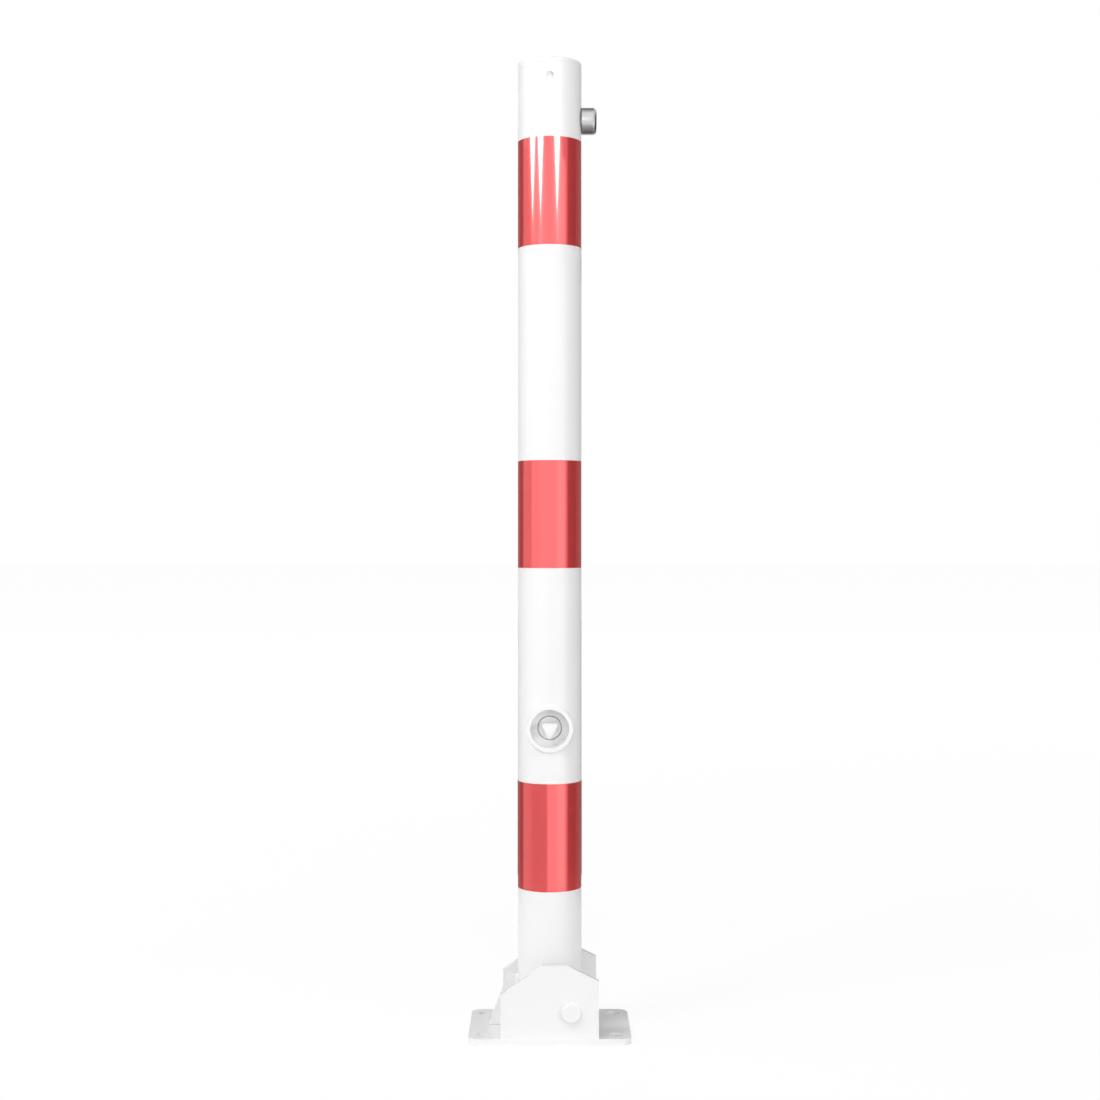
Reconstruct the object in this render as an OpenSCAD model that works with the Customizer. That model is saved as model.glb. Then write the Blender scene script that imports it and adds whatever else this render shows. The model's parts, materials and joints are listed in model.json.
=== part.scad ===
// Fold-down bollard: a round steel post hinged between two cheeks on a base
// plate and held upright by a key-operated bolt in its foot. Millimetres, +Z up,
// origin on the ground under the post's axis. The lock faces -Y and the post
// folds down towards +X. At rest the post stands upright with its bolt drawn up.

/* [Post] */
// Outside diameter of the post tube
post_d = 60; // [56:1:66]
// Wall thickness of the post tube
post_wall = 3; // [2:0.5:4]
// Height of the top of the post above the ground
post_top = 910; // [800:5:1200]
// Thickness of the cap on the end of the tube
cap_t = 5; // [4:0.5:8]
// Length of the cap's skirt inside the tube
cap_skirt = 30; // [28:1:40]
// Wall thickness of the cap's skirt
cap_skirt_wall = 3; // [2:0.5:4]
// Rounding of the cap's top edge
cap_edge_r = 1; // [0.5:0.25:2]
// Chamfer on the cap's lower edge, which shows as its joint line
cap_joint = 0.4; // [0.2:0.1:0.8]
// Diameter of the pin that holds the cap
cap_pin_d = 8; // [6:0.5:10]
// Depth of the cap pin's axis below the top of the post
cap_pin_drop = 18; // [16:0.5:20]
// Depth of the cap pin's end below the skin of the tube
cap_pin_recess = 2.4; // [1:0.2:2.8]

/* [Bands] */
// Height of each red band
band_h = 100; // [80:5:105]
// Height of the lowest band's lower edge above the ground
band_first = 136; // [110:2:136]
// Distance of the highest band's upper edge below the top of the post
band_top_drop = 74; // [70:1:100]
// Thickness of the reflective film
band_film = 0.3; // [0.2:0.1:0.5]

/* [Rest foot] */
// Diameter of the foot that the folded post lies on
rest_d = 25; // [20:1:28]
// How far the foot stands out from the tube
rest_out = 14; // [10:1:20]
// Depth of the foot's axis below the top of the post
rest_drop = 53.5; // [50:0.5:54]
// Rounding of the foot's outer edge
rest_edge_r = 3.5; // [1:0.5:4]
// Diameter of the foot's threaded stud
rest_stud_d = 10; // [8:1:12]
// Diameter of the welded boss that takes the stud
rest_boss_d = 20; // [18:1:24]
// Depth of the welded boss behind the tube wall
rest_boss_t = 11; // [8:1:14]

/* [Base plate] */
// Length of the base plate, along the fold
plate_len = 150; // [140:2:200]
// Width of the base plate, along the hinge pin
plate_wid = 100; // [96:2:130]
// Thickness of the base plate
plate_t = 6; // [5:0.5:8]
// Corner radius of the base plate
plate_corner_r = 10; // [4:1:16]
// Diameter of the four anchor holes
anchor_d = 14; // [10:1:15]
// Distance from an anchor hole's centre to the plate's edges
anchor_edge = 14; // [12:0.5:15]
// Clearance all round the bolt in its hole in the base plate
keeper_clear = 0.75; // [0.5:0.25:2]

/* [Cheeks] */
// Thickness of each cheek
cheek_t = 6; // [5:0.5:8]
// Length of each cheek, along the fold
cheek_len = 90; // [86:1:94]
// Set-back of each cheek from the base plate's edge
cheek_set_back = 1; // [0.5:0.5:2]
// Height of the cheek's top edge above the ground
cheek_top = 72; // [66:1:80]
// Height of the cheek's corner on the fin side
cheek_fin_side = 45.5; // [40:0.5:60]
// Height of the cheek's corner on the fold side
cheek_fold_side = 58.5; // [50:0.5:64]
// Position of the top edge's end on the fin side, from the post's axis
cheek_top_start = 8; // [0:1:16]
// Position of the top edge's end on the fold side, from the post's axis
cheek_top_end = 17.5; // [14:0.5:24]

/* [Hinge] */
// Height of the hinge pin's axis above the ground
hinge_z = 30; // [29:0.5:32]
// Distance of the hinge pin's axis inside the tube's side
hinge_inset = 10.5; // [8:0.5:12]
// Diameter of the hinge pin
pin_d = 14; // [12:1:15]
// Diameter of the hinge pin's head
pin_head_d = 18; // [17:1:22]
// Thickness of the hinge pin's head
pin_head_t = 4; // [3:0.5:5]
// Diameter of the hinge barrel in the foot of the post
barrel_d = 24; // [23:0.5:26]
// Wall thickness of the flanged bushes
bush_wall = 2; // [1.5:0.25:2.5]
// Length of each flanged bush inside the barrel
bush_len = 14; // [8:1:20]
// Thickness of the bush flange
bush_flange_t = 1.5; // [1:0.25:2.5]
// Chamfer on the hinge pin's end
pin_chamfer = 1; // [0.5:0.25:1.5]
// Thickness of the retaining ring on the pin
pin_ring_t = 1.2; // [1:0.1:1.5]
// Depth of the ring grooves
ring_groove = 0.6; // [0.4:0.1:0.8]

/* [Foot fin] */
// Thickness of the fin that bears on the base plate
fin_t = 8; // [5:0.5:12]
// Set-back of the fin's toe from the base plate's end
fin_set_back = 17.5; // [12:0.5:20]
// Distance of the fin's upper corner from the post's axis
fin_shoulder = 39; // [37:0.5:42]
// Height of the fin's top edge above the ground
fin_top = 54.4; // [45:0.5:66]
// Radius of the fin's upper corner
fin_r = 6; // [3:0.5:8]

/* [Lock] */
// Height of the lock's axis above the ground
lock_z = 287; // [276:1:340]
// Outside diameter of the lock collar
collar_d = 42.4; // [40:0.2:44]
// Wall thickness of the lock collar
collar_wall = 3.2; // [2.5:0.1:4]
// How far the collar's rim stands proud of the tube
collar_proud = 1.5; // [1:0.5:3]
// Thickness of the plate that closes the recess
back_plate_t = 6; // [5:0.5:6]
// Diameter of the spindle's flange
key_flange_d = 21; // [20.5:0.25:23]
// Thickness of the spindle's flange
key_flange_t = 2.7; // [2:0.1:3]
// Width of the groove around the spindle's flange
key_groove = 1; // [0.6:0.2:2]
// Diameter of the bar that the triangular pin is cut from
key_bar_d = 16; // [14:0.25:18]
// Distance of the triangular pin's flats from its axis
key_flat = 5; // [4.5:0.25:5.5]
// Distance of the triangular pin's end behind the rim
key_back = 1.5; // [1:0.5:4]
// Diameter of the spindle's journal
spindle_d = 12; // [11:0.5:14]
// Thickness of the retaining ring on the spindle
spindle_ring_t = 1; // [0.8:0.1:1.2]
// Width of the square on the spindle's inner end
spindle_square = 7; // [6:0.25:7.5]

/* [Bolt drive] */
// Throw of the crank
crank_r = 8; // [7:0.25:9]
// Thickness of the crank
crank_t = 4; // [3:0.5:4.5]
// Diameter of the crank's hub
crank_hub_d = 20; // [18:1:22]
// Diameter of the crank pin
crank_pin_d = 6; // [5:0.5:7]
// Wall of the crank's boss around the crank pin
crank_boss_wall = 3; // [2.5:0.5:4]
// Clearance above and below the crank pin in the yoke's slot
slot_clear = 0.4; // [0.35:0.05:0.8]
// Wall of the yoke around its slot
yoke_wall = 5; // [4:0.5:6]
// Thickness of the yoke
yoke_t = 12; // [10:0.5:12]
// Length of the yoke's socket for the bolt's spigot
yoke_socket = 14; // [12:1:18]
// Diameter of the locking bolt
bolt_d = 14; // [12:1:15]
// Diameter of the spigot on top of the bolt
bolt_spigot_d = 8; // [7:0.5:9]
// Depth of the drawn bolt's tip inside the foot of the post
bolt_tip_in = 2.5; // [2:0.5:3.5]
// Chamfer on the bolt's tip
bolt_chamfer = 2; // [1:0.5:3]
// Thickness of the plate in the foot of the post
end_plate_t = 5; // [4:0.5:6]
// Height of the upper bolt guide's underside above the ground
guide_z = 200; // [160:5:210]
// Thickness of the upper bolt guide
guide_t = 12; // [10:0.5:16]
// Outside diameter of the rubber ring in the guide, which holds the bolt where the key leaves it
grip_ring_d = 24; // [20:1:28]
// Thickness of the rubber ring
grip_ring_t = 6; // [4:0.5:8]
// Diameter of the cross pin through the yoke's socket
yoke_pin_d = 4; // [3:0.5:4]

/* [Clearances] */
// Radial running clearance of pins and shafts in their bores
run_fit = 0.06; // [0.03:0.01:0.1]
// Gap between faces that slide past each other
side_gap = 0.3; // [0.2:0.05:0.5]
// Glue line under the reflective film
glue_line = 0.05; // [0.02:0.01:0.1]
// Gap around pieces that are let into the tube and welded
weld_gap = 0.1; // [0:0.05:0.3]
// Smallest gap between the turning foot of the post and the base plate
swing_gap = 1.1; // [0.8:0.1:1.6]

/* [Hidden] */

$fn = 96;
eps = 1;

post_r = post_d / 2;
tube_bore_r = post_r - post_wall;

hinge_x = post_r - hinge_inset;
swing_r = hinge_z - plate_t - swing_gap;
post_bottom = hinge_z - sqrt(swing_r * swing_r - hinge_inset * hinge_inset);
tube_top = post_top - cap_t;

cheek_out_y = plate_wid / 2 - cheek_set_back;
cheek_in_y = cheek_out_y - cheek_t;
barrel_half = cheek_in_y - side_gap - bush_flange_t;
bush_d = pin_d + 2 * run_fit + 2 * bush_wall;
pin_ring_y = cheek_out_y + side_gap;
pin_end_y = cheek_out_y + pin_head_t;
pin_ring_d = pin_d + 7;

rim_y = -(post_r + collar_proud);
recess_r = collar_d / 2 - collar_wall;
key_end_y = rim_y + key_back;
counterbore = key_flange_t + side_gap;
crank_end_y = -yoke_t / 2 - side_gap;
crank_y = crank_end_y - crank_t;
spindle_ring_y = crank_y - side_gap - spindle_ring_t;
collar_end_y = spindle_ring_y - side_gap;
back_plate_y = collar_end_y - back_plate_t;

band_pitch = (post_top - band_top_drop - band_h - band_first) / 2;

crank_angle = 45;
bolt_travel = 2 * crank_r * sin(crank_angle);
bolt_x = -crank_r * (1 + cos(crank_angle)) / 2;
slot_play_x = crank_r * (1 - cos(crank_angle)) / 2 + side_gap;
crank_pin_x = -crank_r * cos(crank_angle);
crank_pin_z = lock_z + crank_r * sin(crank_angle);
slot_h = crank_pin_d + 2 * slot_clear;
slot_w = slot_h + 2 * slot_play_x;
yoke_w = slot_w + 2 * yoke_wall;
yoke_top_z = crank_pin_z + slot_h / 2 + yoke_wall;
yoke_bottom_z = crank_pin_z - slot_h / 2 - yoke_wall / 2 - yoke_socket;
yoke_pin_z = yoke_bottom_z + yoke_socket / 2;
bolt_tip_z = post_bottom + bolt_tip_in;
grip_ring_z = guide_z + guide_t - grip_ring_t;
rest_z = post_top - rest_drop;
cap_pin_z = post_top - cap_pin_drop;

function unit(v) = v / norm(v);

// A round bar along Y from y0 to y1
module bar_y(d, y0, y1, x = 0, z = 0) {
    translate([x, y0, z]) rotate([-90, 0, 0]) cylinder(d = d, h = y1 - y0);
}

// A round bar along X from x0 to x1
module bar_x(d, x0, x1, y = 0, z = 0) {
    translate([x0, y, z]) rotate([0, 90, 0]) cylinder(d = d, h = x1 - x0);
}

// A round bar along Z from z0 to z1
module bar_z(d, z0, z1, x = 0, y = 0) {
    translate([x, y, z0]) cylinder(d = d, h = z1 - z0);
}

// A plate along Y from y0 to y1 with its outline drawn in X and Z
module plate_y(y0, y1) {
    translate([0, y1, 0]) rotate([90, 0, 0]) linear_extrude(y1 - y0) children();
}

// An open retaining ring around Y, with its gap pointing down
module ring_y(inner_d, outer_d, y0, t, x, z) {
    gap = inner_d / 3;
    difference() {
        bar_y(outer_d, y0, y0 + t, x, z);
        bar_y(inner_d, y0 - eps, y0 + t + eps, x, z);
        translate([x - gap / 2, y0 - eps, z - outer_d]) cube([gap, t + 2 * eps, outer_d]);
    }
}

// Half section of a disc with a rounded outer edge on top
module rounded_disc_section(r, t, edge_r) {
    difference() {
        square([r, t]);
        translate([r - edge_r, t - edge_r]) square(edge_r + eps);
    }
    translate([r - edge_r, t - edge_r]) circle(r = edge_r);
}

module base_plate() {
    half = [plate_len / 2 - plate_corner_r, plate_wid / 2 - plate_corner_r];
    color("whitesmoke") difference() {
        linear_extrude(plate_t) {
            square([plate_len, 2 * half.y], center = true);
            square([2 * half.x, plate_wid], center = true);
            for (sx = [-1, 1], sy = [-1, 1])
                translate([sx * half.x, sy * half.y]) circle(r = plate_corner_r);
        }
        for (sx = [-1, 1], sy = [-1, 1])
            bar_z(anchor_d, -eps, plate_t + eps,
                  sx * (plate_len / 2 - anchor_edge), sy * (plate_wid / 2 - anchor_edge));
        bar_z(bolt_d + 2 * keeper_clear, -eps, plate_t + eps, bolt_x);
    }
}

module cheek(y0) {
    color("whitesmoke") difference() {
        plate_y(y0, y0 + cheek_t) polygon([
            [-cheek_len / 2, plate_t],
            [cheek_len / 2, plate_t],
            [cheek_len / 2, cheek_fold_side],
            [cheek_top_end, cheek_top],
            [-cheek_top_start, cheek_top],
            [-cheek_len / 2, cheek_fin_side]
        ]);
        bar_y(pin_d + 2 * run_fit, y0 - eps, y0 + cheek_t + eps, hinge_x, hinge_z);
    }
}

module front_cheek() {
    cheek(-cheek_out_y);
}

module rear_cheek() {
    cheek(cheek_in_y);
}

module hinge_pin() {
    head_edge_r = pin_head_t / 3;
    color("whitesmoke") difference() {
        union() {
            translate([hinge_x, -cheek_out_y, hinge_z]) rotate([90, 0, 0])
                rotate_extrude() rounded_disc_section(pin_head_d / 2, pin_head_t, head_edge_r);
            bar_y(pin_d, -cheek_out_y, pin_end_y - pin_chamfer, hinge_x, hinge_z);
            translate([hinge_x, pin_end_y - pin_chamfer, hinge_z]) rotate([-90, 0, 0])
                cylinder(d1 = pin_d, d2 = pin_d - 2 * pin_chamfer, h = pin_chamfer);
        }
        difference() {
            bar_y(pin_d + eps, pin_ring_y, pin_ring_y + pin_ring_t, hinge_x, hinge_z);
            bar_y(pin_d - 2 * ring_groove, pin_ring_y - eps, pin_ring_y + pin_ring_t + eps,
                  hinge_x, hinge_z);
        }
    }
}

module hinge_pin_ring() {
    color("gray") ring_y(pin_d - 2 * ring_groove, pin_ring_d, pin_ring_y, pin_ring_t,
                         hinge_x, hinge_z);
}

module post_tube() {
    color("whitesmoke") difference() {
        bar_z(post_d, post_bottom, tube_top);
        bar_z(2 * tube_bore_r, post_bottom - eps, tube_top + eps);
        bar_y(barrel_d + 2 * weld_gap, -barrel_half, barrel_half, hinge_x, hinge_z);
        bar_y(collar_d + 2 * weld_gap, rim_y - eps, 0, 0, lock_z);
        bar_y(cap_pin_d, rim_y - eps, 0, 0, cap_pin_z);
        bar_x(rest_stud_d + 2 * run_fit, 0, post_r + eps, 0, rest_z);
    }
}

// The fin's upper corner is an arc tangent to its sloping back and its top edge
module foot_fin() {
    toe = [fin_set_back - plate_len / 2, plate_t + side_gap];
    shoulder = [-fin_shoulder, fin_top];
    along_back = unit(toe - shoulder);
    along_top = [1, 0];
    half_angle = acos(along_back * along_top) / 2;
    tangent = fin_r / tan(half_angle);
    arc_centre = shoulder + unit(along_back + along_top) * fin_r / sin(half_angle);
    color("whitesmoke") difference() {
        plate_y(-fin_t / 2, fin_t / 2) {
            polygon([
                toe,
                [0, toe.y],
                [0, fin_top],
                shoulder + along_top * tangent,
                arc_centre,
                shoulder + along_back * tangent
            ]);
            translate(arc_centre) circle(r = fin_r);
        }
        bar_z(post_d, 0, fin_top + eps);
    }
}

module foot_end_plate() {
    color("whitesmoke") difference() {
        bar_z(2 * tube_bore_r, post_bottom, post_bottom + end_plate_t);
        bar_z(bolt_d + 2 * run_fit, post_bottom - eps, post_bottom + end_plate_t + eps, bolt_x);
    }
}

module hinge_barrel() {
    color("whitesmoke") difference() {
        bar_y(barrel_d, -barrel_half, barrel_half, hinge_x, hinge_z);
        bar_y(bush_d, -barrel_half - eps, barrel_half + eps, hinge_x, hinge_z);
    }
}

// A flanged bush at the end of the barrel on the given side, -1 front or 1 rear
module bush(side) {
    flange_y = side * (barrel_half + bush_flange_t);
    inner_y = side * (barrel_half - bush_len);
    color("goldenrod") difference() {
        union() {
            bar_y(bush_d, min(inner_y, flange_y), max(inner_y, flange_y), hinge_x, hinge_z);
            bar_y(barrel_d, min(side * barrel_half, flange_y), max(side * barrel_half, flange_y),
                  hinge_x, hinge_z);
        }
        bar_y(pin_d + 2 * run_fit, -cheek_out_y, cheek_out_y, hinge_x, hinge_z);
    }
}

module front_bush() {
    bush(-1);
}

module rear_bush() {
    bush(1);
}

module top_cap() {
    color("whitesmoke") difference() {
        union() {
            translate([0, 0, tube_top]) rotate_extrude() difference() {
                rounded_disc_section(post_r, cap_t, cap_edge_r);
                translate([post_r, 0]) circle(r = cap_joint, $fn = 4);
            }
            bar_z(2 * tube_bore_r, tube_top - cap_skirt, tube_top);
        }
        bar_z(2 * (tube_bore_r - cap_skirt_wall), tube_top - cap_skirt - eps, tube_top);
        bar_y(cap_pin_d, -post_r, 0, 0, cap_pin_z);
    }
}

module cap_pin() {
    color("whitesmoke") bar_y(cap_pin_d, -(post_r - cap_pin_recess), -tube_bore_r + cap_skirt_wall,
                              0, cap_pin_z);
}

// The foot's back is flat and meets the tube along one line
module rest_foot() {
    back_x = post_r + run_fit;
    color("darkgray") {
        translate([back_x, 0, rest_z]) rotate([0, 90, 0]) rotate_extrude()
            rounded_disc_section(rest_d / 2, rest_out - run_fit, rest_edge_r);
        bar_x(rest_stud_d, tube_bore_r - rest_boss_t, back_x + eps, 0, rest_z);
    }
}

// The boss is coped to the bore of the tube
module rest_foot_boss() {
    color("gray") difference() {
        intersection() {
            bar_x(rest_boss_d, tube_bore_r - rest_boss_t, post_r, 0, rest_z);
            bar_z(2 * tube_bore_r, rest_z - rest_boss_d, rest_z + rest_boss_d);
        }
        bar_x(rest_stud_d, 0, post_r, 0, rest_z);
    }
}

module red_band(index) {
    z0 = band_first + index * band_pitch;
    color("crimson") difference() {
        bar_z(post_d + 2 * band_film, z0, z0 + band_h);
        bar_z(post_d + 2 * glue_line, z0 - eps, z0 + band_h + eps);
    }
}

module red_band_bottom() {
    red_band(0);
}

module red_band_middle() {
    red_band(1);
}

module red_band_top() {
    red_band(2);
}

module lock_collar() {
    color("whitesmoke") difference() {
        bar_y(collar_d, rim_y, collar_end_y, 0, lock_z);
        bar_y(2 * recess_r, rim_y - eps, collar_end_y + eps, 0, lock_z);
    }
}

module lock_back_plate() {
    color("whitesmoke") difference() {
        bar_y(2 * (recess_r - run_fit), back_plate_y, collar_end_y, 0, lock_z);
        bar_y(key_flange_d + 2 * key_groove, back_plate_y - eps, back_plate_y + counterbore,
              0, lock_z);
        bar_y(spindle_d + 2 * run_fit, back_plate_y, collar_end_y + eps, 0, lock_z);
    }
}

// The square that drives the crank, with one flat facing the crank pin
module drive_square(y0, y1) {
    plate_y(y0, y1) translate([0, lock_z]) rotate(crank_angle)
        square(spindle_square, center = true);
}

// The triangular pin stands flat side up and is cut from round bar
module key_spindle() {
    color("lightgray") difference() {
        union() {
            plate_y(key_end_y, back_plate_y) translate([0, lock_z]) intersection() {
                circle(d = key_bar_d);
                polygon([for (a = [30, 150, 270]) 2 * key_flat * [cos(a), sin(a)]]);
            }
            bar_y(key_flange_d, back_plate_y, back_plate_y + key_flange_t, 0, lock_z);
            bar_y(spindle_d, back_plate_y, crank_y, 0, lock_z);
            drive_square(crank_y, crank_end_y);
        }
        difference() {
            bar_y(spindle_d + eps, spindle_ring_y, spindle_ring_y + spindle_ring_t, 0, lock_z);
            bar_y(spindle_d - 2 * ring_groove, spindle_ring_y - eps,
                  spindle_ring_y + spindle_ring_t + eps, 0, lock_z);
        }
    }
}

module spindle_ring() {
    color("gray") ring_y(spindle_d - 2 * ring_groove, spindle_d + 6, spindle_ring_y,
                         spindle_ring_t, 0, lock_z);
}

module crank() {
    color("gray") difference() {
        plate_y(crank_y, crank_end_y) {
            translate([0, lock_z]) circle(d = crank_hub_d);
            translate([crank_pin_x, crank_pin_z]) circle(d = crank_pin_d + 2 * crank_boss_wall);
        }
        drive_square(crank_y - eps, crank_end_y + eps);
        bar_y(crank_pin_d, crank_y - eps, crank_end_y + eps, crank_pin_x, crank_pin_z);
    }
}

module crank_pin() {
    color("lightgray") bar_y(crank_pin_d, crank_y, yoke_t / 2 + side_gap, crank_pin_x, crank_pin_z);
}

module locking_bolt() {
    color("lightgray") difference() {
        union() {
            translate([bolt_x, 0, 0]) rotate_extrude() polygon([
                [0, bolt_tip_z],
                [bolt_d / 2 - bolt_chamfer, bolt_tip_z],
                [bolt_d / 2, bolt_tip_z + bolt_chamfer],
                [bolt_d / 2, yoke_bottom_z],
                [0, yoke_bottom_z]
            ]);
            bar_z(bolt_spigot_d, yoke_bottom_z - eps, yoke_bottom_z + yoke_socket, bolt_x);
        }
        bar_y(yoke_pin_d, -bolt_d, bolt_d, bolt_x, yoke_pin_z);
    }
}

module bolt_yoke() {
    color("gray") difference() {
        translate([bolt_x - yoke_w / 2, -yoke_t / 2, yoke_bottom_z])
            cube([yoke_w, yoke_t, yoke_top_z - yoke_bottom_z]);
        plate_y(-yoke_t / 2 - eps, yoke_t / 2 + eps) translate([bolt_x, crank_pin_z]) {
            square([2 * slot_play_x, slot_h], center = true);
            for (side = [-1, 1]) translate([side * slot_play_x, 0]) circle(d = slot_h);
        }
        bar_z(bolt_spigot_d, yoke_bottom_z - eps, yoke_bottom_z + yoke_socket, bolt_x);
        bar_y(yoke_pin_d, -yoke_t, yoke_t, bolt_x, yoke_pin_z);
    }
}

module yoke_pin() {
    color("gray") bar_y(yoke_pin_d, -yoke_t / 2, yoke_t / 2, bolt_x, yoke_pin_z);
}

module bolt_guide() {
    guide_top = guide_z + guide_t;
    color("gray") difference() {
        bar_z(2 * tube_bore_r, guide_z, guide_top);
        bar_z(bolt_d + 2 * run_fit, guide_z - eps, guide_top + eps, bolt_x);
        bar_z(grip_ring_d, grip_ring_z, guide_top + eps, bolt_x);
    }
}

module grip_ring() {
    color("dimgray") difference() {
        bar_z(grip_ring_d, grip_ring_z, grip_ring_z + grip_ring_t, bolt_x);
        bar_z(bolt_d + 2 * run_fit, grip_ring_z - eps, grip_ring_z + grip_ring_t + eps, bolt_x);
    }
}

base_plate();
front_cheek();
rear_cheek();
hinge_pin();
hinge_pin_ring();
post_tube();
foot_fin();
foot_end_plate();
hinge_barrel();
front_bush();
rear_bush();
top_cap();
cap_pin();
rest_foot();
rest_foot_boss();
red_band_bottom();
red_band_middle();
red_band_top();
lock_collar();
lock_back_plate();
bolt_guide();
grip_ring();
key_spindle();
spindle_ring();
crank();
crank_pin();
locking_bolt();
bolt_yoke();
yoke_pin();
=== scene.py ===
"""Looks of the fold-down bollard: its finishes, weld beads and film seams, in a plain studio.

Metres, +Z up, the origin on the ground under the post's axis. The lock faces -Y, the camera
stands on that side, and the post folds down towards +X.
"""

import json
import math

import bmesh
import bpy
from mathutils import Matrix, Vector


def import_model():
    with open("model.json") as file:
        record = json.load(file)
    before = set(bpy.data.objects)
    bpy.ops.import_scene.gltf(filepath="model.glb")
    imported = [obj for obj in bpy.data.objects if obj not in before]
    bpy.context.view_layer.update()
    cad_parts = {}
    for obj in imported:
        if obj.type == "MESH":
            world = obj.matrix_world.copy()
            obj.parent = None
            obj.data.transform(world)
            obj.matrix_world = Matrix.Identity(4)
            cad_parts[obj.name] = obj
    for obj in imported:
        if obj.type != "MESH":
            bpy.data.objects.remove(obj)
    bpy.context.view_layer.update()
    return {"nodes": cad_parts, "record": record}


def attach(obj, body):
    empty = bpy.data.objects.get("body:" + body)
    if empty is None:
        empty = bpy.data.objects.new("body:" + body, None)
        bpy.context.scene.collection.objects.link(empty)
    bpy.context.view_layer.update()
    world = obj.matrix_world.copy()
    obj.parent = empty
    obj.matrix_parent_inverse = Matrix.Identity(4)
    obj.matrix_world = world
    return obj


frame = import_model()

MM = 0.001
NODES = frame["nodes"]

# Sizes and places of the part that its welds and finishes follow
POST_R = 30 * MM
COLLAR_R = 21.2 * MM
LOCK_Z = 287 * MM
HINGE = Vector((19.5, 0, 30)) * MM
BARREL_R = 12 * MM
FIN_HALF = 4 * MM
PLATE_TOP = 6 * MM
REST_FOOT_Z = 856.5 * MM

# Camera: a level view from the lock's side
IMAGE_SIDE_PX = 1100
FOCAL_PX = 1699.6
HORIZON_ROW_PX = 539.3
AXIS_COLUMN_PX = 549.7
SENSOR_MM = 36
CAMERA_DISTANCE = 1.6025
CAMERA_HEIGHT = 0.46265

# Light: how bright the world is as a backdrop and as a lamp
BACKDROP_LEVEL = 1.0
AMBIENT_LEVEL = 0.32
AMBIENT_SLOPE = 0.14
AMBIENT_FRONT = (-0.26, -0.966, 0)
AIM_HEIGHT = 0.45


def grey(level):
    """An opaque grey of this linear level."""
    return (level, level, level, 1)


def camera():
    """The photograph's frame: its lens and shift bring the post's axis and the horizon to their place."""
    data = bpy.data.cameras.new("camera")
    data.sensor_width = SENSOR_MM
    data.lens = FOCAL_PX / IMAGE_SIDE_PX * SENSOR_MM
    data.shift_x = (IMAGE_SIDE_PX / 2 - AXIS_COLUMN_PX) / IMAGE_SIDE_PX
    data.shift_y = (HORIZON_ROW_PX - IMAGE_SIDE_PX / 2) / IMAGE_SIDE_PX
    view = bpy.data.objects.new("camera", data)
    view.location = (0, -CAMERA_DISTANCE, CAMERA_HEIGHT)
    view.rotation_euler = (math.radians(90), 0, 0)
    bpy.context.scene.collection.objects.link(view)
    bpy.context.scene.camera = view
    bpy.context.scene.view_settings.view_transform = "Standard"


def backdrop_share(tree):
    """1 for the rays that see the white backdrop, directly or in a gloss, and 0 for the rest."""
    path = tree.nodes.new("ShaderNodeLightPath")
    share = path.outputs["Is Camera Ray"]
    for name in ("Is Glossy Ray", "Is Transmission Ray"):
        higher = tree.nodes.new("ShaderNodeMath")
        higher.operation = "MAXIMUM"
        tree.links.new(share, higher.inputs[0])
        tree.links.new(path.outputs[name], higher.inputs[1])
        share = higher.outputs[0]
    return share


def world():
    """White where it is seen, and a soft light that is stronger from the front left."""
    studio = bpy.data.worlds.new("studio")
    studio.use_nodes = True
    bpy.context.scene.world = studio
    tree = studio.node_tree
    background = tree.nodes["Background"]
    background.inputs["Color"].default_value = grey(1)
    towards, front = tree.nodes.new("ShaderNodeTexCoord"), tree.nodes.new("ShaderNodeVectorMath")
    front.operation = "DOT_PRODUCT"
    front.inputs[1].default_value = AMBIENT_FRONT
    ambient, level = tree.nodes.new("ShaderNodeMapRange"), tree.nodes.new("ShaderNodeMapRange")
    ambient.inputs["From Min"].default_value = -1
    ambient.inputs["To Min"].default_value = AMBIENT_LEVEL - AMBIENT_SLOPE
    ambient.inputs["To Max"].default_value = AMBIENT_LEVEL + AMBIENT_SLOPE
    level.inputs["To Max"].default_value = BACKDROP_LEVEL
    tree.links.new(towards.outputs["Generated"], front.inputs[0])
    tree.links.new(front.outputs["Value"], ambient.inputs["Value"])
    tree.links.new(ambient.outputs["Result"], level.inputs["To Min"])
    tree.links.new(backdrop_share(tree), level.inputs["Value"])
    tree.links.new(level.outputs["Result"], background.inputs["Strength"])


SOFTBOX_DISTANCE = 6


def around(azimuth, elevation, distance):
    """A place seen from the post at these angles. Azimuth 0 is -Y and 90 is +X."""
    a, e = math.radians(azimuth), math.radians(elevation)
    flat = distance * math.cos(e)
    return Vector((flat * math.sin(a), -flat * math.cos(a), AIM_HEIGHT + distance * math.sin(e)))


def facing_post(place):
    """The turn that points a lamp at the post."""
    return (Vector((0, 0, AIM_HEIGHT)) - place).to_track_quat("-Z", "Y").to_euler()


def softbox(name, azimuth, elevation, width, height, watts):
    """A wide lamp that lights the surfaces and shows in no gloss."""
    data = bpy.data.lights.new(name, "AREA")
    data.shape = "RECTANGLE"
    data.size, data.size_y = width, height
    data.energy = watts
    lamp = bpy.data.objects.new(name, data)
    lamp.location = around(azimuth, elevation, SOFTBOX_DISTANCE)
    lamp.rotation_euler = facing_post(lamp.location)
    lamp.visible_camera = lamp.visible_glossy = False
    bpy.context.scene.collection.objects.link(lamp)


def spot(azimuth, height, distance):
    """A place this far out from the post's axis."""
    return around(azimuth, 0, distance) + Vector((0, 0, height - AIM_HEIGHT))


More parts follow.
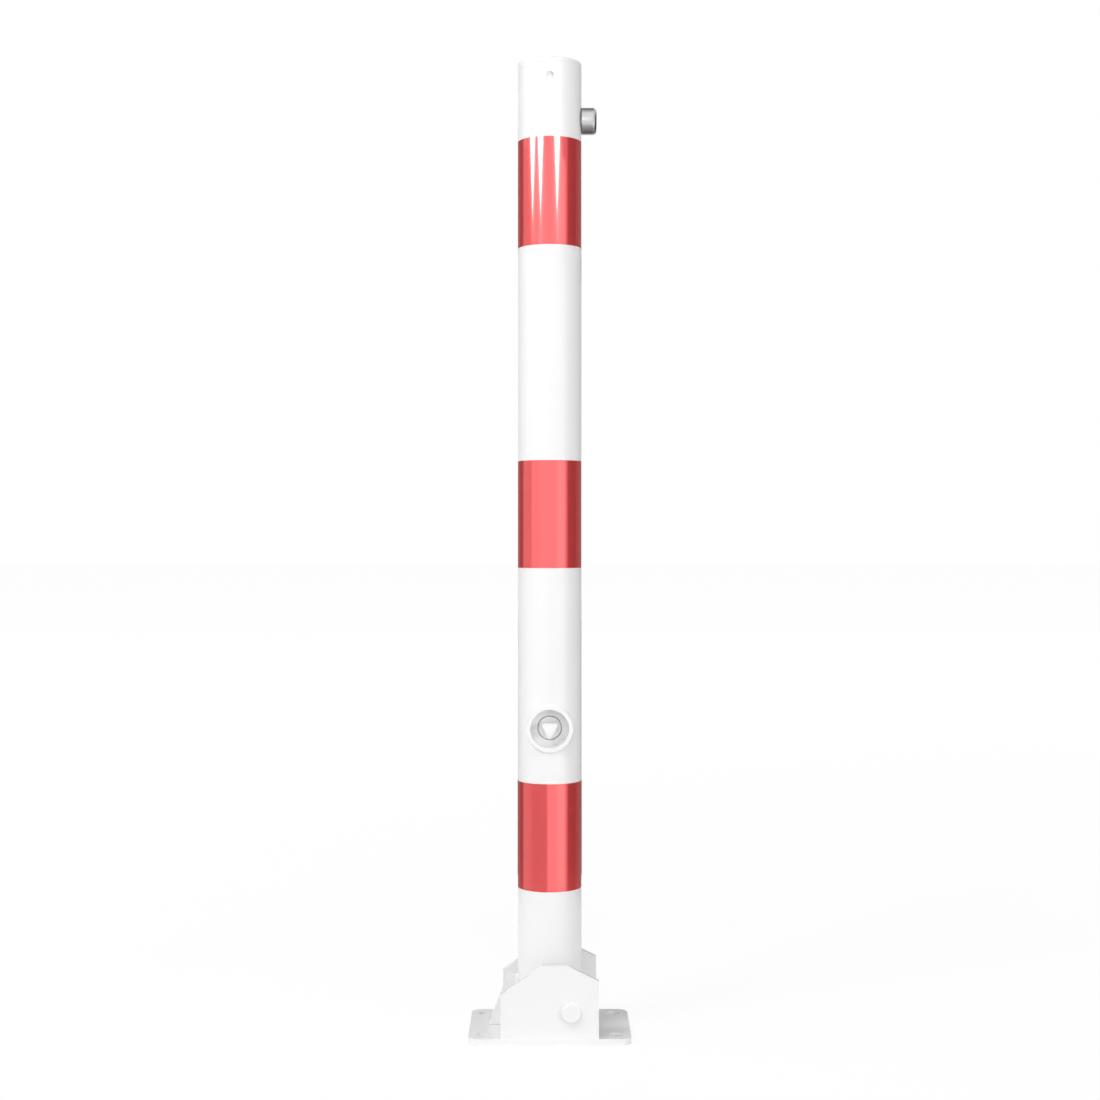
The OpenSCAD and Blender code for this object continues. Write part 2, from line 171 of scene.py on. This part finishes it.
def card(name, mesh, radiance):
    """A card that only glosses see: a glowing one reads as a highlight, a dark one as an edge."""
    material = bpy.data.materials.new(name)
    material.use_nodes = True
    tree = material.node_tree
    tree.nodes.remove(tree.nodes["Principled BSDF"])
    glow = tree.nodes.new("ShaderNodeEmission")
    glow.inputs["Strength"].default_value = radiance
    tree.links.new(glow.outputs[0], tree.nodes["Material Output"].inputs["Surface"])
    made = piece(name, mesh, material)
    made.visible_camera = made.visible_diffuse = made.visible_shadow = False
    made.visible_transmission = made.visible_volume_scatter = False


def flat_card(name, corners, radiance):
    """A card with one flat face."""
    mesh = bmesh.new()
    mesh.faces.new([mesh.verts.new(corner) for corner in corners])
    card(name, mesh, radiance)


# Screens stand round the post in flat strips of this many degrees
SCREEN_DISTANCE = 0.6
SCREEN_STEP = 8


def screen(name, start, end, bottom, top, radiance):
    """An upright card, curved round the post from one azimuth to another."""
    mesh = bmesh.new()
    count = math.ceil(abs(end - start) / SCREEN_STEP)
    foot = [mesh.verts.new(spot(start + (end - start) * i / count, bottom, SCREEN_DISTANCE))
            for i in range(count + 1)]
    edges = [mesh.edges.new(pair) for pair in zip(foot, foot[1:])]
    raised = bmesh.ops.extrude_edge_only(mesh, edges=edges)["geom"]
    bmesh.ops.translate(mesh, vec=(0, 0, top - bottom),
                        verts=[part for part in raised if isinstance(part, bmesh.types.BMVert)])
    card(name, mesh, radiance)


# Streaks hang just inside the screens. Half their width is in degrees round the post
STREAK_DISTANCE = 0.58
STREAK_TIP_Z = 0.865
STREAK_TOP_Z = 0.99375
STREAK_HALF_WIDTH = 13.125
STREAK_RADIANCE = 15


def streak(name, azimuth):
    """A glowing wedge, point down, that draws a thin spike of light on the glossy film."""
    flat_card(name, [spot(azimuth, STREAK_TIP_Z, STREAK_DISTANCE),
                     spot(azimuth + STREAK_HALF_WIDTH, STREAK_TOP_Z, STREAK_DISTANCE),
                     spot(azimuth - STREAK_HALF_WIDTH, STREAK_TOP_Z, STREAK_DISTANCE)], STREAK_RADIANCE)


FLAG_TOP_Z = 1.2


def lights():
    """The lamps, then the streaks, the dark flags at the sides and back, and the bright screens."""
    softbox("key_softbox", -51, 48, 1.7, 1.7, 100)
    softbox("top_softbox", 4, 62, 1.0, 1.0, 54)
    softbox("side_softbox", -92, 8, 3.0, 2.5, 84)
    softbox("back_softbox", -162, 6, 3.0, 2.5, 95)
    softbox("fill_softbox_left", -18, 24, 3.0, 2.5, 53)
    softbox("fill_softbox_right", 46, 6, 3.0, 2.5, 104)
    for name, azimuth in (("left", -62), ("middle", -32), ("right", 26)):
        streak(f"streak_{name}", azimuth)
    for name, start, end, radiance in (("left_near", -106, -130, 0.07),
                                       ("left_far", -130, -156, 0.18),
                                       ("right_near", 64, 108, 0.06),
                                       ("right_far", 108, 152, 0.2)):
        screen(f"flag_{name}", start, end, 0.0, FLAG_TOP_Z, radiance)
    screen("flag_back", 152, 204, 0.03, 0.36, 0.3)
    screen("front_low", -66, -8, 0.0, 0.2, 0.55)
    screen("front_left", -106, -66, 0.0, 0.96, 0.75)
    screen("front_middle_left", -66, -36, 0.2, 0.96, 1.35)
    screen("front_middle", -36, -8, 0.2, 0.96, 1.5)
    screen("front_right_low", -8, 26, 0.0, 0.19, 1.5)
    screen("front_right_left", -8, 0, 0.19, 0.96, 1.5)
    screen("front_right_right", 12, 26, 0.19, 0.96, 1.5)
    screen("front_right_dim", 0, 12, 0.19, 0.41, 0.7)
    screen("front_right_middle", 0, 12, 0.41, 0.62, 1.5)
    screen("front_right_half", 0, 12, 0.62, 0.8, 1.0)
    screen("front_right_upper", 0, 12, 0.8, 0.96, 1.5)
    screen("front_right_high", -8, 26, 0.96, 1.3, 1.5)
    screen("front_far_right", 26, 54, 0.0, 0.96, 1.9)
    rest_cards()


def rest_cards():
    """Cards round the rest foot, which shows their greys as its shaded edges.

    Each goes from one x to another, and from one y and z to another.
    """
    for name, x_a, x_b, y_a, z_a, y_b, z_b, radiance in (
            ("low", 0.01, 0.08, -0.32, 0.715, -0.14, 0.728, 0.95),
            ("under", 0.01, 0.08, -0.14, 0.728, -0.06, 0.73, 0.5),
            ("below", 0.01, 0.08, -0.06, 0.73, 0.02, 0.73, 0.32),
            ("behind", 0.01, 0.08, 0.02, 0.73, 0.16, 0.73, 0.13),
            ("front", -0.09, 0.18, -0.42, 1.1, -0.09, 1.15, 1.45),
            ("above", -0.09, 0.18, -0.09, 1.15, 0.03, 1.15, 0.8),
            ("over", -0.03, 0.12, 0.03, 1.15, 0.3, 1.08, 0.25),
            ("beside", 0.055, 0.1, -0.07, 0.83, -0.07, 0.92, 0.7)):
        flat_card(f"rest_card_{name}", [Vector((x_a, y_a, z_a)), Vector((x_b, y_a, z_a)),
                                        Vector((x_b, y_b, z_b)), Vector((x_a, y_b, z_b))], radiance)


def piece(name, mesh, material):
    """Makes an object of a finished bmesh, at the origin."""
    data = bpy.data.meshes.new(name)
    mesh.to_mesh(data)
    mesh.free()
    data.materials.append(material)
    made = bpy.data.objects.new(name, data)
    bpy.context.scene.collection.objects.link(made)
    return made


FLOOR_RADIUS = 30
FLOOR_BOUNCE = grey(0.82)
FLOOR_SEEN = grey(0.14)

# The floor's own lift to white grows from the first distance to the second
FLOOR_NEAR = 0.5
FLOOR_FAR = 5
FLOOR_LIFT_NEAR = 0.88
FLOOR_LIFT_FAR = 0.94


def floor():
    """A pale floor. Seen directly or in a gloss it is lifted to white and keeps a faint shadow."""
    mesh = bmesh.new()
    bmesh.ops.create_circle(mesh, cap_ends=True, segments=64, radius=FLOOR_RADIUS)
    material = bpy.data.materials.new("studio_floor")
    material.use_nodes = True
    tree = material.node_tree
    tree.nodes.remove(tree.nodes["Principled BSDF"])
    bounce, seen = (tree.nodes.new("ShaderNodeBsdfDiffuse") for _ in range(2))
    bounce.inputs["Color"].default_value = FLOOR_BOUNCE
    seen.inputs["Color"].default_value = FLOOR_SEEN
    place, away = tree.nodes.new("ShaderNodeTexCoord"), tree.nodes.new("ShaderNodeVectorMath")
    away.operation = "LENGTH"
    level, lift = tree.nodes.new("ShaderNodeMapRange"), tree.nodes.new("ShaderNodeEmission")
    level.inputs["From Min"].default_value = FLOOR_NEAR
    level.inputs["From Max"].default_value = FLOOR_FAR
    level.inputs["To Min"].default_value = FLOOR_LIFT_NEAR
    level.inputs["To Max"].default_value = FLOOR_LIFT_FAR
    lifted, choice = tree.nodes.new("ShaderNodeAddShader"), tree.nodes.new("ShaderNodeMixShader")
    links = tree.links
    links.new(place.outputs["Object"], away.inputs[0])
    links.new(away.outputs["Value"], level.inputs["Value"])
    links.new(level.outputs["Result"], lift.inputs["Strength"])
    links.new(seen.outputs[0], lifted.inputs[0])
    links.new(lift.outputs[0], lifted.inputs[1])
    links.new(backdrop_share(tree), choice.inputs[0])
    links.new(bounce.outputs[0], choice.inputs[1])
    links.new(lifted.outputs[0], choice.inputs[2])
    links.new(choice.outputs[0], tree.nodes["Material Output"].inputs["Surface"])
    piece("studio_floor", mesh, material)


def new_material(name, **sockets):
    """A Principled material whose named sockets hold plain values."""
    material = bpy.data.materials.new(name)
    material.use_nodes = True
    shader = material.node_tree.nodes["Principled BSDF"]
    for socket, value in sockets.items():
        shader.inputs[socket.replace("_", " ")].default_value = value
    return material, material.node_tree, shader


GRAIN_DEPTH = 0.1 * MM


def mottle_group():
    """Two tones mixed by soft noise, with a fine grain as height: colour, roughness and normal."""
    group = bpy.data.node_groups.new("mottle", "ShaderNodeTree")
    face = group.interface
    for name, kind, value in (("Light Colour", "NodeSocketColor", (1, 1, 1, 1)),
                              ("Dark Colour", "NodeSocketColor", (0.8, 0.8, 0.8, 1)),
                              ("Patch Scale", "NodeSocketFloat", 20),
                              ("Grain Scale", "NodeSocketFloat", 900),
                              ("Grain Height", "NodeSocketFloat", 0.1),
                              ("Least Roughness", "NodeSocketFloat", 0.3),
                              ("Most Roughness", "NodeSocketFloat", 0.4)):
        face.new_socket(name, in_out="INPUT", socket_type=kind).default_value = value
    face.new_socket("Color", in_out="OUTPUT", socket_type="NodeSocketColor")
    face.new_socket("Roughness", in_out="OUTPUT", socket_type="NodeSocketFloat")
    face.new_socket("Normal", in_out="OUTPUT", socket_type="NodeSocketVector")
    nodes, links = group.nodes, group.links
    given, out = nodes.new("NodeGroupInput"), nodes.new("NodeGroupOutput")
    place = nodes.new("ShaderNodeTexCoord")
    patches, grain = nodes.new("ShaderNodeTexNoise"), nodes.new("ShaderNodeTexNoise")
    patches.inputs["Detail"].default_value = 4
    grain.inputs["Detail"].default_value = 2
    mix = nodes.new("ShaderNodeMix")
    mix.data_type = "RGBA"
    rough = nodes.new("ShaderNodeMapRange")
    bump = nodes.new("ShaderNodeBump")
    bump.inputs["Distance"].default_value = GRAIN_DEPTH
    for noise, scale in ((patches, "Patch Scale"), (grain, "Grain Scale")):
        links.new(place.outputs["Object"], noise.inputs["Vector"])
        links.new(given.outputs[scale], noise.inputs["Scale"])
    links.new(patches.outputs["Fac"], mix.inputs["Factor"])
    links.new(given.outputs["Light Colour"], mix.inputs["A"])
    links.new(given.outputs["Dark Colour"], mix.inputs["B"])
    links.new(mix.outputs["Result"], out.inputs["Color"])
    links.new(patches.outputs["Fac"], rough.inputs["Value"])
    links.new(given.outputs["Least Roughness"], rough.inputs["To Min"])
    links.new(given.outputs["Most Roughness"], rough.inputs["To Max"])
    links.new(rough.outputs["Result"], out.inputs["Roughness"])
    links.new(grain.outputs["Fac"], bump.inputs["Height"])
    links.new(given.outputs["Grain Height"], bump.inputs["Strength"])
    links.new(bump.outputs["Normal"], out.inputs["Normal"])
    return group


def mottled(tree, shader, **values):
    """Feeds a shader from the mottle group with this finish's own values."""
    mottle = tree.nodes.new("ShaderNodeGroup")
    mottle.node_tree = MOTTLE
    for name, value in values.items():
        mottle.inputs[name.replace("_", " ")].default_value = value
    tree.links.new(mottle.outputs["Color"], shader.inputs["Base Color"])
    tree.links.new(mottle.outputs["Roughness"], shader.inputs["Roughness"])
    tree.links.new(mottle.outputs["Normal"], shader.inputs["Normal"])
    return mottle


LATHE_LINE_DEPTH = 0.05 * MM


def turned(tree, shader, mottle, centre, turn, pitch, strength):
    """Adds lathe lines: rings on an end face and hoops on the round, about one axis.

    The mapping lays that axis on Z, where height plus radius grows along every turned face.
    """
    place, lay = tree.nodes.new("ShaderNodeTexCoord"), tree.nodes.new("ShaderNodeMapping")
    lay.vector_type = "TEXTURE"
    lay.inputs["Location"].default_value = centre
    lay.inputs["Rotation"].default_value = turn
    split, flat = tree.nodes.new("ShaderNodeSeparateXYZ"), tree.nodes.new("ShaderNodeCombineXYZ")
    radius, along = tree.nodes.new("ShaderNodeVectorMath"), tree.nodes.new("ShaderNodeMath")
    radius.operation = "LENGTH"
    lines, bump = tree.nodes.new("ShaderNodeTexNoise"), tree.nodes.new("ShaderNodeBump")
    lines.noise_dimensions = "1D"
    lines.inputs["Scale"].default_value = 1 / pitch
    bump.inputs["Distance"].default_value = LATHE_LINE_DEPTH
    bump.inputs["Strength"].default_value = strength
    links = tree.links
    links.new(place.outputs["Object"], lay.inputs["Vector"])
    links.new(lay.outputs["Vector"], split.inputs["Vector"])
    links.new(split.outputs["X"], flat.inputs["X"])
    links.new(split.outputs["Y"], flat.inputs["Y"])
    links.new(flat.outputs["Vector"], radius.inputs[0])
    links.new(radius.outputs["Value"], along.inputs[0])
    links.new(split.outputs["Z"], along.inputs[1])
    links.new(along.outputs["Value"], lines.inputs["W"])
    links.new(lines.outputs["Fac"], bump.inputs["Height"])
    links.new(mottle.outputs["Normal"], bump.inputs["Normal"])
    links.new(bump.outputs["Normal"], shader.inputs["Normal"])


def powder_coat(name):
    """White powder coat with a fine orange peel."""
    material, tree, shader = new_material(
        name, Metallic=0.0, Specular_IOR_Level=0.35, Coat_Weight=0.3, Coat_Roughness=0.06)
    mottled(tree, shader, Light_Colour=grey(0.9), Dark_Colour=grey(0.885), Patch_Scale=14,
            Grain_Scale=700, Grain_Height=0.06, Least_Roughness=0.34, Most_Roughness=0.42)
    return material


SEAM_WIDTH = 0.5 * MM
SEAM_FADE = 25 * MM
SEAM_STEP = 0.25 * MM
SEAM_COLOUR = (0.22, 0.02, 0.02, 1)


def film_seam(tree, shader, mottle):
    """The film's ends lap at the back of the post: a step with a thin dark line along it."""
    place, split = tree.nodes.new("ShaderNodeTexCoord"), tree.nodes.new("ShaderNodeSeparateXYZ")
    step, behind, lap = (tree.nodes.new(f"ShaderNode{kind}") for kind in
                         ("MapRange", "MapRange", "Math"))
    step.inputs["From Min"].default_value = -SEAM_WIDTH / 2
    step.inputs["From Max"].default_value = SEAM_WIDTH / 2
    behind.inputs["From Max"].default_value = SEAM_FADE
    lap.operation = "MULTIPLY"
    line, ink = tree.nodes.new("ShaderNodeFloatCurve"), tree.nodes.new("ShaderNodeMath")
    curve = line.mapping.curves[0]
    curve.points[0].location, curve.points[1].location = (0, 0), (1, 0)
    curve.points.new(0.5, 1)
    line.mapping.update()
    ink.operation = "MULTIPLY"
    shade, bump = tree.nodes.new("ShaderNodeMix"), tree.nodes.new("ShaderNodeBump")
    shade.data_type = "RGBA"
    shade.inputs["B"].default_value = SEAM_COLOUR
    bump.inputs["Distance"].default_value = SEAM_STEP
    links = tree.links
    links.new(place.outputs["Object"], split.inputs["Vector"])
    links.new(split.outputs["X"], step.inputs["Value"])
    links.new(split.outputs["Y"], behind.inputs["Value"])
    links.new(step.outputs["Result"], lap.inputs[0])
    links.new(behind.outputs["Result"], lap.inputs[1])
    links.new(step.outputs["Result"], line.inputs["Value"])
    links.new(line.outputs["Value"], ink.inputs[0])
    links.new(behind.outputs["Result"], ink.inputs[1])
    links.new(ink.outputs["Value"], shade.inputs["Factor"])
    links.new(mottle.outputs["Color"], shade.inputs["A"])
    links.new(shade.outputs["Result"], shader.inputs["Base Color"])
    links.new(lap.outputs["Value"], bump.inputs["Height"])
    links.new(mottle.outputs["Normal"], bump.inputs["Normal"])
    links.new(bump.outputs["Normal"], shader.inputs["Normal"])


def reflective_film():
    """Red reflective film: a red mirror layer of fine beads under a clear, glossy face."""
    material, tree, shader = new_material(
        "red_film", Metallic=0.5, Coat_Weight=1.0, Coat_Roughness=0.03, Coat_IOR=1.6)
    mottle = mottled(tree, shader, Light_Colour=(0.87, 0.082, 0.084, 1),
                     Dark_Colour=(0.82, 0.072, 0.074, 1), Patch_Scale=60, Grain_Scale=4000,
                     Grain_Height=0.03, Least_Roughness=0.18, Most_Roughness=0.24)
    film_seam(tree, shader, mottle)
    return material


def steel(name, light, dark, least, most, patch_scale):
    """Steel between two greys and two roughnesses, with a fine grain."""
    material, tree, shader = new_material(name, Metallic=1.0)
    mottle = mottled(tree, shader, Light_Colour=grey(light), Dark_Colour=grey(dark),
                     Patch_Scale=patch_scale, Grain_Scale=1500, Grain_Height=0.15,
                     Least_Roughness=least, Most_Roughness=most)
    return material, tree, shader, mottle


REST_CENTRE = (POST_R, 0, REST_FOOT_Z)
AXIS_ALONG_X = (0, math.radians(90), 0)
LATHE_PITCH = 0.35 * MM
LATHE_STRENGTH = 0.5


def turned_steel():
    """The rest foot: satin steel with the lathe's fine lines."""
    material, tree, shader, mottle = steel("satin_steel", 0.52, 0.45, 0.26, 0.32, 40)
    turned(tree, shader, mottle, REST_CENTRE, AXIS_ALONG_X, LATHE_PITCH, LATHE_STRENGTH)
    return material


def bronze():
    """The bushes: sintered bronze, with a coarse grain."""
    material, tree, shader = new_material("bush_bronze", Metallic=1.0)
    mottled(tree, shader, Light_Colour=(0.62, 0.45, 0.22, 1), Dark_Colour=(0.5, 0.34, 0.16, 1),
            Patch_Scale=300, Grain_Scale=3000, Grain_Height=0.25,
            Least_Roughness=0.35, Most_Roughness=0.5)
    return material


def rubber():
    """The grip ring: matt black rubber."""
    material, tree, shader = new_material("black_rubber", Metallic=0.0)
    mottled(tree, shader, Light_Colour=grey(0.035), Dark_Colour=grey(0.02), Patch_Scale=200,
            Grain_Scale=2500, Grain_Height=0.2, Least_Roughness=0.65, Most_Roughness=0.8)
    return material


def finishes():
    """Each of the record's material slots with the finish that its pieces take."""
    return {
        "white_coat": powder_coat("white_coat"),
        "spindle_coat": powder_coat("spindle_coat"),
        "red_film": reflective_film(),
        "satin_steel": turned_steel(),
        "zinc_steel": steel("zinc_steel", 0.66, 0.58, 0.3, 0.4, 120)[0],
        "bare_steel": steel("bare_steel", 0.52, 0.42, 0.32, 0.45, 60)[0],
        "bush_bronze": bronze(),
        "black_rubber": rubber(),
    }


def dress(node, material):
    """Puts a material in every slot of a CAD node's object."""
    if not node.material_slots:
        node.data.materials.append(material)
    for slot in node.material_slots:
        slot.material = material


def dress_nodes():
    """Gives each CAD node the finish of its slot in the record."""
    for row in frame["record"]["subparts"]:
        dress(NODES[row["node"]], FINISH[row["material_slot"]])


BEAD_SIDES = 10
BEAD_STEP = 0.45 * MM
RIPPLE_PITCH = 1.9 * MM
RIPPLE_DEPTH = 0.07
BEAD_END_SHARE = 0.5


def even_steps(path, closed):
    """The same line with its points BEAD_STEP apart."""
    corners = path + path[:1] if closed else path
    spaced, left = [corners[0]], 0.0
    for a, b in zip(corners, corners[1:]):
        length = (b - a).length
        at = BEAD_STEP - left
        while at <= length:
            spaced.append(a.lerp(b, at / length))
            at += BEAD_STEP
        left = length - (at - BEAD_STEP)
    return spaced


def weld_bead(name, body, radius, path, closed=False):
    """A rippled bead of weld along a line, sunk half into the corner that it fills."""
    points = even_steps(path, closed)
    mesh = bmesh.new()
    ring = bmesh.ops.create_circle(mesh, radius=1, segments=BEAD_SIDES)["verts"]
    edges = first = mesh.edges[:]
    placed, turn, heading = Matrix.Identity(4), None, None
    for step, point in enumerate(points):
        ahead = points[(step + 1) % len(points)] if closed or step + 1 < len(points) else point
        behind = points[step - 1] if closed or step else point
        way = (ahead - behind).normalized()
        if step:
            grown = bmesh.ops.extrude_edge_only(mesh, edges=edges)["geom"]
            ring = [part for part in grown if isinstance(part, bmesh.types.BMVert)]
            edges = [part for part in grown if isinstance(part, bmesh.types.BMEdge)]
            turn = heading.rotation_difference(way) @ turn
        else:
            turn = way.to_track_quat("Z", "Y")
        heading = way
        ripple = 1 + RIPPLE_DEPTH * math.sin(2 * math.pi * step * BEAD_STEP / RIPPLE_PITCH)
        if not closed and step in (0, len(points) - 1):
            ripple = BEAD_END_SHARE
        place = Matrix.LocRotScale(point, turn, Vector((1, 1, 1)) * radius * ripple)
        bmesh.ops.transform(mesh, matrix=place @ placed.inverted(), verts=ring)
        placed = place
    if closed:
        bmesh.ops.bridge_loops(mesh, edges=edges + first)
    else:
        bmesh.ops.holes_fill(mesh, edges=edges + first)
    bmesh.ops.recalc_face_normals(mesh, faces=mesh.faces)
    for face in mesh.faces:
        face.smooth = True
    bead = piece(name, mesh, FINISH["white_coat"])
    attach(bead, body)


# How far the line of a bead stands off the surface that it runs on
BEAD_LIFT = 0.2 * MM

CHEEK_BEAD_R = 2.4 * MM
CHEEK_BEAD_Y = 42.6 * MM
CHEEK_BEAD_X = 42.5 * MM
CHEEK_BEAD_LIFT = 0.4 * MM


def cheek_welds():
    """Beads along the foot of each cheek, on its inner side."""
    for side, name in ((-1, "front"), (1, "rear")):
        y, z = side * CHEEK_BEAD_Y, PLATE_TOP + CHEEK_BEAD_LIFT
        weld_bead(f"weld_{name}_cheek", "base", CHEEK_BEAD_R,
                  [Vector((x, y, z)) for x in (-CHEEK_BEAD_X, CHEEK_BEAD_X)])


COLLAR_BEAD_R = 1.3 * MM
FULL_TURN = [math.radians(a) for a in range(0, 360, 3)]


def collar_weld():
    """The bead that follows the lock collar round on the tube."""
    r = COLLAR_R + BEAD_LIFT
    path = [Vector((r * math.sin(a), -math.sqrt(POST_R ** 2 - (r * math.sin(a)) ** 2),
                    LOCK_Z + r * math.cos(a))) for a in FULL_TURN]
    weld_bead("weld_lock_collar", "post", COLLAR_BEAD_R, path, closed=True)


FIN_BEAD_R = 2.2 * MM
FIN_BEAD_ENDS_Z = (11.5 * MM, 53 * MM)


def fin_welds():
    """Beads on both sides of the fin where it meets the tube."""
    for side, name in ((-1, "front"), (1, "rear")):
        y = side * (FIN_HALF + BEAD_LIFT)
        x = -math.sqrt(POST_R ** 2 - y ** 2) - BEAD_LIFT
        weld_bead(f"weld_{name}_fin", "post", FIN_BEAD_R,
                  [Vector((x, y, z)) for z in FIN_BEAD_ENDS_Z])


BARREL_BEAD_R = 1.8 * MM
BARREL_BEAD_HALF_MM = 19


def barrel_welds():
    """Beads over and under the hinge barrel where it is let into the tube's foot."""
    for side, name in ((1, "upper"), (-1, "lower")):
        path = []
        for y in range(-BARREL_BEAD_HALF_MM, BARREL_BEAD_HALF_MM + 1):
            x = math.sqrt(POST_R ** 2 - (y * MM) ** 2) + BEAD_LIFT
            rise = math.sqrt(BARREL_R ** 2 - (x - HINGE.x) ** 2)
            path.append(Vector((x, y * MM, HINGE.z + side * rise)))
        weld_bead(f"weld_{name}_barrel", "post", BARREL_BEAD_R, path)


camera()
world()
lights()
floor()
MOTTLE = mottle_group()
FINISH = finishes()
dress_nodes()
cheek_welds()
collar_weld()
fin_welds()
barrel_welds()
